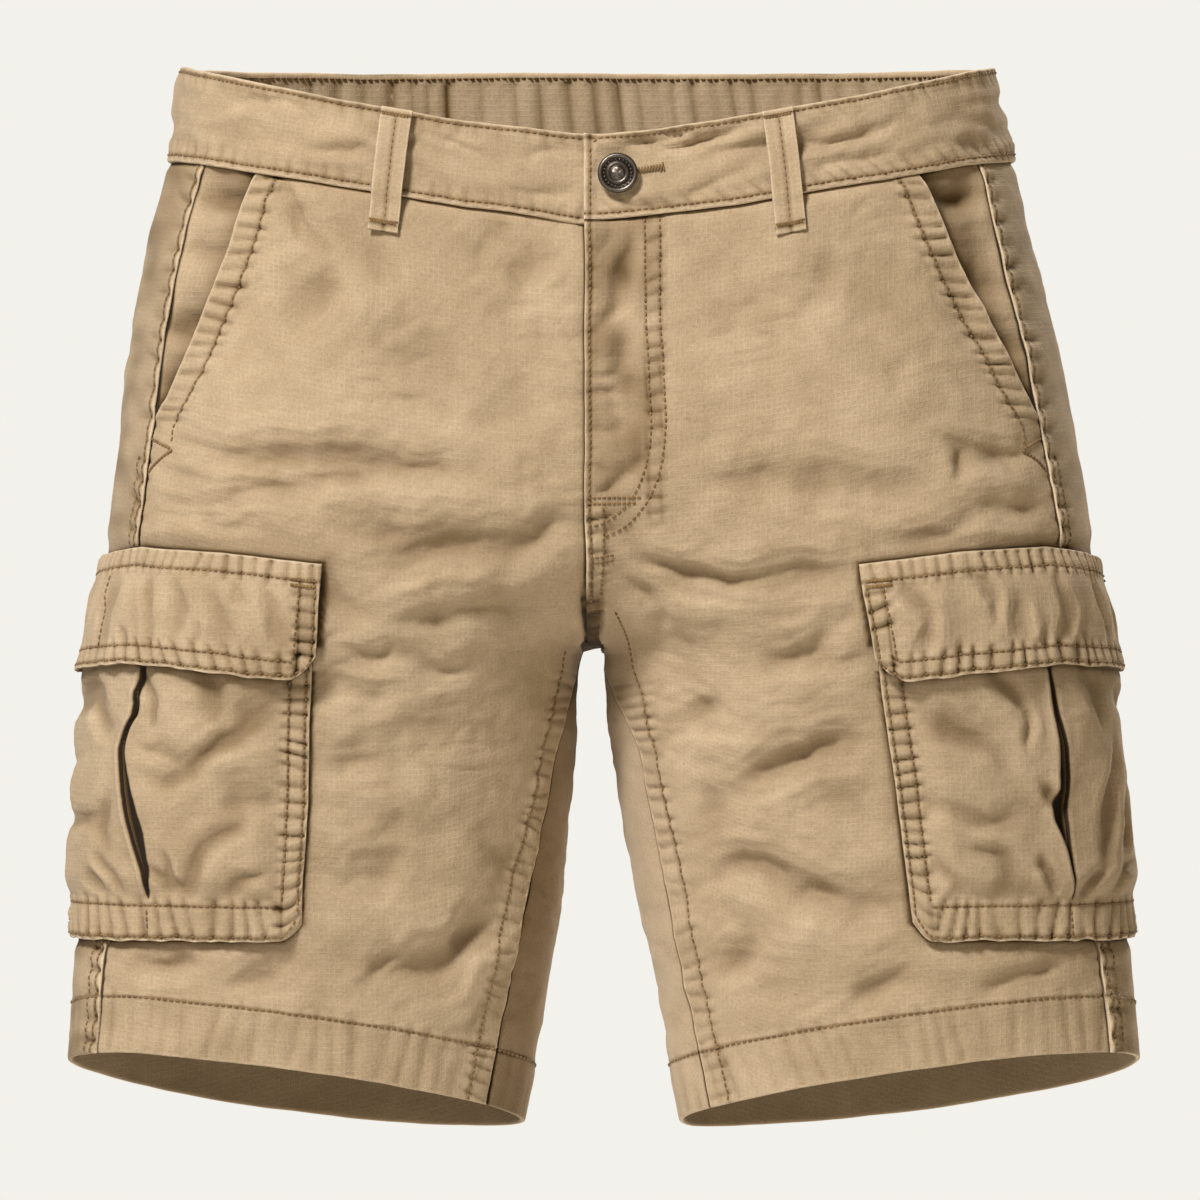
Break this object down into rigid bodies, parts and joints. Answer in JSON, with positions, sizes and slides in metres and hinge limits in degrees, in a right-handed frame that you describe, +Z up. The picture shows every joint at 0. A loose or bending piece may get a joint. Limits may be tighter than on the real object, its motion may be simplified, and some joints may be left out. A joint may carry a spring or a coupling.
{
  "type": "cargo shorts",
  "caption": "Hollow cargo shorts filled out as worn, with open waist and legs, slant hand pockets, pleated cargo pockets with flaps, belt loops and a button.",
  "frame": {"origin": "middle of the waist, half way up the waistband at the sides", "axes": "+X to the wearer's left, -Y out of the front, +Z up out of the waist"},
  "size_m": [0.4813, 0.2271, 0.4791],
  "materials": {
    "cloth": "garment-washed khaki ripstop cotton with golden brown thread",
    "metal": "dark antique metal"
  },
  "bodies": {
    "root": {"front_left": "cloth", "front_right": "cloth", "back_left": "cloth", "back_right": "cloth", "hand_pocket_facing_left": "cloth", "hand_pocket_facing_right": "cloth", "waistband": "cloth", "belt_loop_front_left": "cloth", "belt_loop_front_right": "cloth", "belt_loop_back_left": "cloth", "belt_loop_back_centre": "cloth", "belt_loop_back_right": "cloth", "cargo_pocket_left": "cloth", "cargo_pocket_right": "cloth", "cargo_flap_left": "cloth", "cargo_flap_right": "cloth", "button": "metal"}
  },
  "joints": []
}
